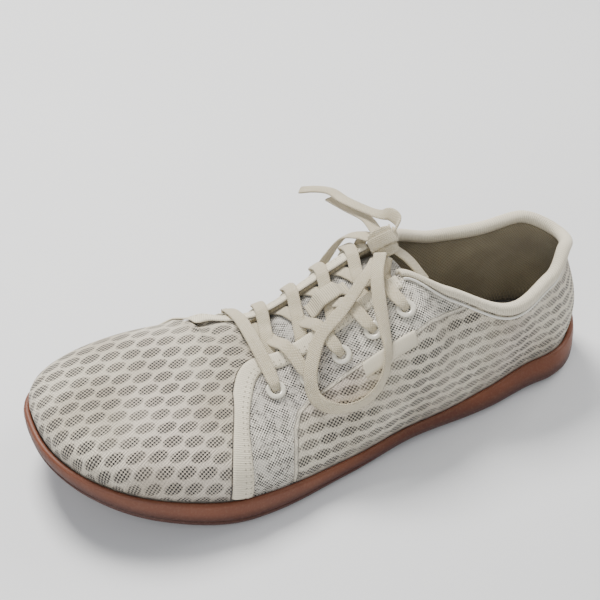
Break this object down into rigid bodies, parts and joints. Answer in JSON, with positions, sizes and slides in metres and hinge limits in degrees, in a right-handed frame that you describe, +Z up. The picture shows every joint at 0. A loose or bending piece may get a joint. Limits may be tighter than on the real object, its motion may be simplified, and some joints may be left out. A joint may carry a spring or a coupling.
{
  "type": "barefoot shoe",
  "caption": "Left barefoot shoe with a hollow mesh upper, a wide toe, a thin cup sole, a padded collar and flat laces tied in a bow.",
  "frame": {"origin": "on the floor under the middle of the heel, at the heel's flat spot", "axes": "+X to the toe, +Y to the outer side of this left shoe, +Z up"},
  "size_m": [0.2842, 0.1305, 0.0915],
  "materials": {
    "gum_rubber": "matt gum rubber, red-brown below and lighter orange-brown on the upper band",
    "upper_mesh": "off-white open engineered mesh over foam",
    "insole_cloth": "dark grey-brown brushed cloth",
    "tongue_mesh": "light fine mesh with an olive-tan lining",
    "webbing": "ivory ribbed webbing with stitch rows",
    "eyelet": "ivory gloss enamel ring",
    "lace": "beige flat woven lace"
  },
  "bodies": {
    "root": {"outsole": "gum_rubber", "upper": "upper_mesh", "insole": "insole_cloth", "tongue": "tongue_mesh", "tongue_keeper": "webbing", "collar_roll": "webbing", "quarter_tape_outer": "webbing", "quarter_tape_inner": "webbing", "side_tag": "webbing", "eyelet_outer_1": "eyelet", "eyelet_outer_2": "eyelet", "eyelet_outer_3": "eyelet", "eyelet_outer_4": "eyelet", "eyelet_outer_5": "eyelet", "eyelet_inner_1": "eyelet", "eyelet_inner_2": "eyelet", "eyelet_inner_3": "eyelet", "eyelet_inner_4": "eyelet", "eyelet_inner_5": "eyelet", "lace_bar": "lace", "lace_crossing_1": "lace", "lace_crossing_2": "lace", "lace_crossing_3": "lace", "lace_crossing_4": "lace", "lace_knot": "lace", "lace_loop_outer": "lace", "lace_loop_inner": "lace", "lace_riser_front": "lace", "lace_riser_back": "lace", "lace_end_long": "lace", "lace_end_short": "lace"}
  },
  "joints": []
}
